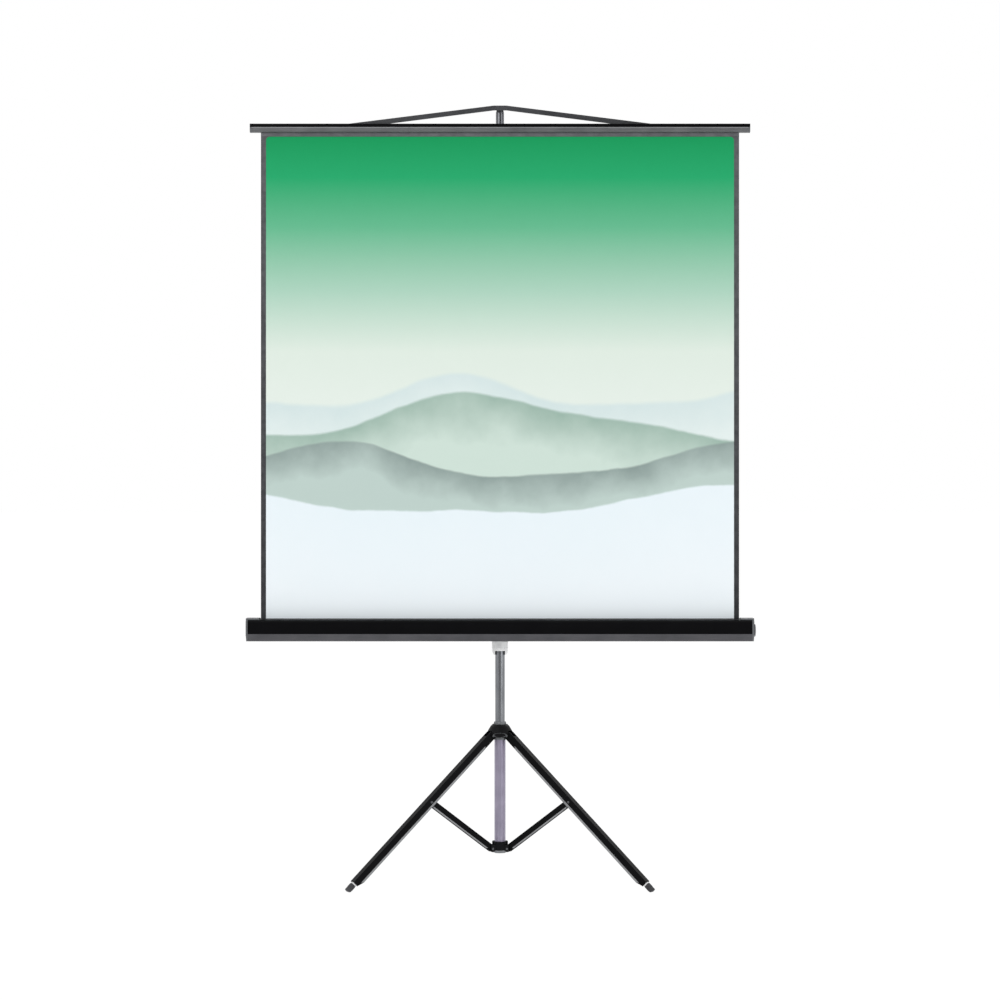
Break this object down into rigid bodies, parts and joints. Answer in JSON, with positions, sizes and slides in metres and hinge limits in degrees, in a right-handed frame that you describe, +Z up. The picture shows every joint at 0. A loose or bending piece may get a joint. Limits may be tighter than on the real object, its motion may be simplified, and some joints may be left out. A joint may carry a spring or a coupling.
{
  "type": "tripod projection screen",
  "caption": "Free-standing pull-up projection screen: bordered fabric between a roller case and a hung top bar, on a telescopic column with folding legs.",
  "frame": {"origin": "on the floor, at the middle of the bounding box", "axes": "+Z up, -Y towards the viewers, +X along the case towards its spindle end"},
  "size_m": [1.59, 0.8183, 2.4295],
  "materials": {
    "hub_black": "satin black moulding",
    "grey_metal": "satin grey",
    "plated": "plated tube",
    "bright": "bright plating",
    "bright_plastic": "pale ferrule",
    "black_steel": "semi-gloss black paint",
    "grey_plastic": "grey moulding",
    "roller": "drawn tube",
    "cloth": "matt coated cloth",
    "bar_grey": "satin grey",
    "bar_black": "satin black",
    "rubber": "moulded rubber"
  },
  "bodies": {
    "hub": {"hub": "hub_black", "hub_pin_a": "bright", "hub_pin_b": "bright", "hub_pin_c": "bright"},
    "clamp_ring": {"clamp_ring": "grey_metal"},
    "spider": {"lower_column": "plated", "stop_ring": "grey_metal", "collar": "hub_black", "foot_plate": "grey_metal"},
    "mast": {"mast": "plated", "carriage": "bright", "swivel_bolt": "bright"},
    "lock_collar": {"lock_collar": "hub_black"},
    "extension": {"extension": "plated"},
    "case": {"case_shell": "black_steel", "case_cap_l": "grey_plastic", "case_cap_r": "grey_plastic", "swivel_plate": "grey_metal", "fabric": "cloth"},
    "roller": {"roller_tube": "roller", "roller_plug_l": "hub_black", "roller_plug_r": "hub_black", "fabric_wind": "cloth"},
    "top_bar": {"bar_tube": "bar_grey", "bar_strip": "bar_black", "bar_cap_l": "grey_plastic", "bar_cap_r": "grey_plastic", "bail": "grey_metal"},
    "leg_a": {"leg_a": "black_steel", "ferrule_a": "bright_plastic", "foot_a": "rubber", "strut_pin_a": "bright"},
    "strut_a": {"strut_a": "black_steel"},
    "leg_b": {"leg_b": "black_steel", "ferrule_b": "bright_plastic", "foot_b": "rubber", "strut_pin_b": "bright"},
    "strut_b": {"strut_b": "black_steel"},
    "leg_c": {"leg_c": "black_steel", "ferrule_c": "bright_plastic", "foot_c": "rubber", "strut_pin_c": "bright"},
    "strut_c": {"strut_c": "black_steel"}
  },
  "joints": [
    {"name": "leg_a_fold", "type": "hinge", "parent": "hub", "child": "leg_a", "pos_m": [-0.02944, -0.15086, 0.449], "axis": [0.5, -0.866, 0], "range_deg": [0, 45]},
    {"name": "leg_b_fold", "type": "hinge", "parent": "hub", "child": "leg_b", "pos_m": [0.02944, -0.15086, 0.449], "axis": [0.5, 0.866, 0], "range_deg": [0, 45]},
    {"name": "leg_c_fold", "type": "hinge", "parent": "hub", "child": "leg_c", "pos_m": [0, -0.09986, 0.449], "axis": [-1, 0, 0], "range_deg": [0, 45]},
    {"name": "strut_a_fold", "type": "hinge", "parent": "leg_a", "child": "strut_a", "pos_m": [-0.21673, -0.25899, 0.25428], "axis": [-0.5, 0.866, 0], "range_deg": [0, 95]},
    {"name": "strut_b_fold", "type": "hinge", "parent": "leg_b", "child": "strut_b", "pos_m": [0.21673, -0.25899, 0.25428], "axis": [-0.5, -0.866, 0], "range_deg": [0, 95]},
    {"name": "strut_c_fold", "type": "hinge", "parent": "leg_c", "child": "strut_c", "pos_m": [0, 0.1164, 0.25428], "axis": [1, 0, 0], "range_deg": [0, 95]},
    {"name": "spider_slide", "type": "slide", "parent": "hub", "child": "spider", "axis": [0, 0, -1], "range_m": [0, 0.2059]},
    {"name": "mast_slide", "type": "slide", "parent": "hub", "child": "mast", "axis": [0, 0, -1], "range_m": [0, 0.1]},
    {"name": "clamp_turn", "type": "hinge", "parent": "hub", "child": "clamp_ring", "pos_m": [0, -0.13386, 0.486], "axis": [0, 0, 1], "range_deg": [0, 90]},
    {"name": "case_swivel", "type": "hinge", "parent": "mast", "child": "case", "pos_m": [0, -0.16386, 0.7825], "axis": [0, 1, 0], "range_deg": [0, 55]},
    {"name": "extension_slide", "type": "slide", "parent": "mast", "child": "extension", "axis": [0, 0, -1], "range_m": [0, 0.99]},
    {"name": "top_bar_slide", "type": "slide", "parent": "case", "child": "top_bar", "axis": [0, 0, -1], "range_m": [0, 0.99], "deforming": ["fabric"]},
    {"name": "roller_turn", "type": "hinge", "parent": "case", "child": "roller", "pos_m": [0, -0.19686, 0.7825], "axis": [-1, 0, 0], "range_deg": [0, 2769]},
    {"name": "lock_turn", "type": "hinge", "parent": "mast", "child": "lock_collar", "pos_m": [0, -0.13386, 1.36], "axis": [0, 0, 1], "range_deg": [0, 90]}
  ],
  "couplings": [
    {"joint": "strut_a_fold", "follows": "leg_a_fold", "ratio": 2.1088},
    {"joint": "strut_b_fold", "follows": "leg_a_fold", "ratio": 2.1088},
    {"joint": "leg_b_fold", "follows": "leg_a_fold", "ratio": 1},
    {"joint": "strut_c_fold", "follows": "leg_a_fold", "ratio": 2.1088},
    {"joint": "leg_c_fold", "follows": "leg_a_fold", "ratio": 1},
    {"joint": "spider_slide", "follows": "leg_a_fold", "m_per_rad": 0.26157},
    {"joint": "top_bar_slide", "follows": "extension_slide", "ratio": 1},
    {"joint": "roller_turn", "follows": "extension_slide", "rad_per_m": 48.78}
  ]
}
